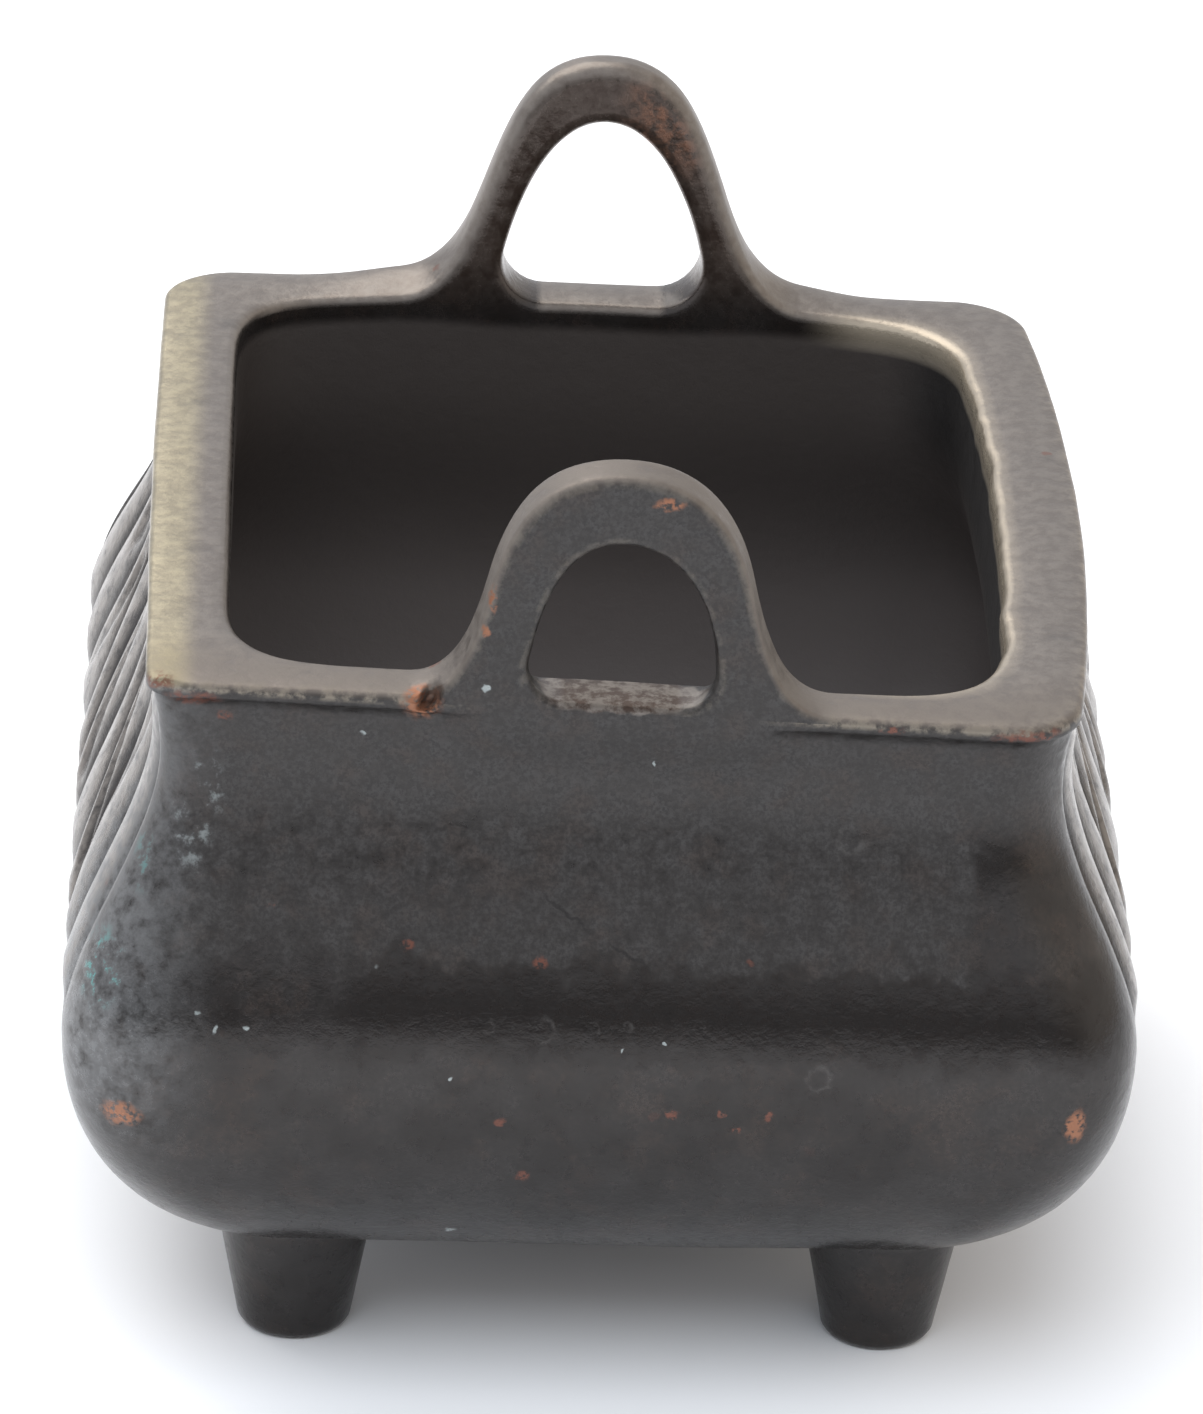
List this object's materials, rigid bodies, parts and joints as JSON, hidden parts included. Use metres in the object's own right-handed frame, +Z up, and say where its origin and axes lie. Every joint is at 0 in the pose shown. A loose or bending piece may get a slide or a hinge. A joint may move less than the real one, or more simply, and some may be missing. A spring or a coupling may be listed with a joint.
{
  "type": "incense burner",
  "caption": "Small cast bronze censer: square mouth, full belly, loop handles on the end rims, wavy strands in relief on the sides, and short tapered feet.",
  "frame": {"origin": "on the ground under the middle of the vessel", "axes": "+Z up, +X to the right seen from the front, +Y from the front handle to the back handle"},
  "size_m": [0.0706, 0.0768, 0.0692],
  "materials": {
    "bronze": "dark brown-black patinated bronze, satin, worn to dull grey-gold on the rim, with coppery spots and a few flecks of verdigris"
  },
  "bodies": {
    "root": {"incense_burner": "bronze"}
  },
  "joints": []
}
